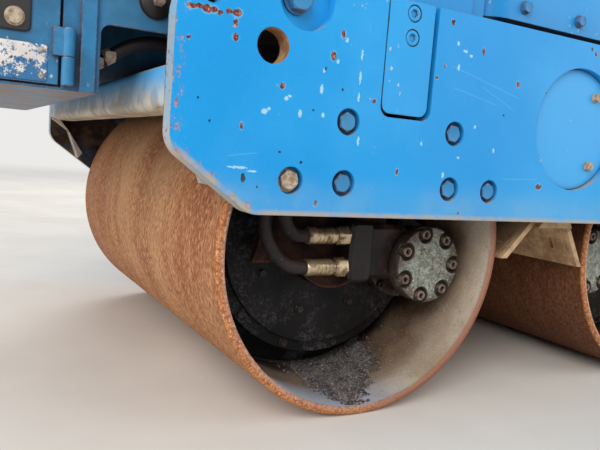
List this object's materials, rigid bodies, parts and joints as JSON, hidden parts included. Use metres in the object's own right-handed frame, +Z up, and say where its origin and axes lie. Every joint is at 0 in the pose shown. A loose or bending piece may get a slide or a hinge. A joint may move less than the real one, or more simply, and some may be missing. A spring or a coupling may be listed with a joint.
{
  "type": "hand-guided double drum road roller",
  "caption": "Walk-behind vibratory roller with two steel drums in a rigid frame, travel motors in the drum ends, hood, tank, nose box and folding drawbar.",
  "frame": {"origin": "on the ground, under the middle of the whole machine's box, drawbar included", "axes": "+X towards the front of the machine, +Y to its left side, +Z up"},
  "size_m": [2.336, 0.77, 1.212],
  "materials": {
    "blue_paint": "weathered sky blue paint with rust chips",
    "rusty_steel": "rusty drum steel, pale paint inside",
    "oily_steel": "dark oily steel",
    "motor_paint": "worn grey-green paint",
    "hose_rubber": "black hose cover",
    "plated_fitting": "yellow zinc plating",
    "dusty_steel": "dusty bare steel",
    "grey_block": "plain block",
    "black_plastic": "moulded black plastic",
    "black_rubber": "moulded rubber",
    "exhaust_steel": "heat-stained steel"
  },
  "bodies": {
    "frame": {"side_plate_left": "blue_paint", "side_plate_right": "blue_paint", "slot_covers": "blue_paint", "exciter_housing": "blue_paint", "exciter_covers": "blue_paint", "front_crossbeam": "blue_paint", "rear_crossbeam": "blue_paint", "deck": "blue_paint", "hose_manifolds": "oily_steel", "scraper_carrier": "dusty_steel", "scraper_blades": "dusty_steel", "sprinkler_pipes": "dusty_steel", "base_rails": "oily_steel", "engine_block": "grey_block", "hinge_frame": "blue_paint", "water_tank": "blue_paint", "tank_cap": "black_plastic", "hood_shell": "blue_paint", "nose_box": "blue_paint", "nose_pipe": "oily_steel", "exhaust_pipe": "exhaust_steel", "drawbar_bracket": "blue_paint", "drawbar_pin": "dusty_steel", "drawbar_buffers": "black_rubber", "drive_carrier_front": "oily_steel", "idle_carrier_front": "oily_steel", "drive_motor_front": "motor_paint", "hose_fittings_front": "plated_fitting", "motor_hoses_front": "hose_rubber", "drive_carrier_rear": "oily_steel", "idle_carrier_rear": "oily_steel", "drive_motor_rear": "motor_paint", "hose_fittings_rear": "plated_fitting", "motor_hoses_rear": "hose_rubber"},
    "front_drum": {"front_drum": "rusty_steel"},
    "rear_drum": {"rear_drum": "rusty_steel"},
    "drawbar": {"drawbar_frame": "blue_paint", "rubber_grips": "black_rubber", "control_console": "black_plastic", "control_levers": "dusty_steel"},
    "hood_lid": {"hood_lid": "blue_paint"},
    "nose_door": {"nose_door": "blue_paint", "door_latch": "black_rubber"}
  },
  "joints": [
    {"name": "front_drum_roll", "type": "hinge", "parent": "frame", "child": "front_drum", "pos_m": [0.7, 0, 0.2], "axis": [0, 1, 0], "continuous": true},
    {"name": "rear_drum_roll", "type": "hinge", "parent": "frame", "child": "rear_drum", "pos_m": [0.124, 0, 0.2], "axis": [0, 1, 0], "continuous": true},
    {"name": "drawbar_fold", "type": "hinge", "parent": "frame", "child": "drawbar", "pos_m": [-0.2, 0, 0.388], "axis": [0, 1, 0], "range_deg": [0, 40]},
    {"name": "hood_lid_hinge", "type": "hinge", "parent": "frame", "child": "hood_lid", "pos_m": [0.577, 0, 0.772], "axis": [0, 1, 0], "range_deg": [0, 60]},
    {"name": "nose_door_hinge", "type": "hinge", "parent": "frame", "child": "nose_door", "pos_m": [1.046, 0.316, 0.4], "axis": [0, 0, 1], "range_deg": [0, 100]}
  ]
}
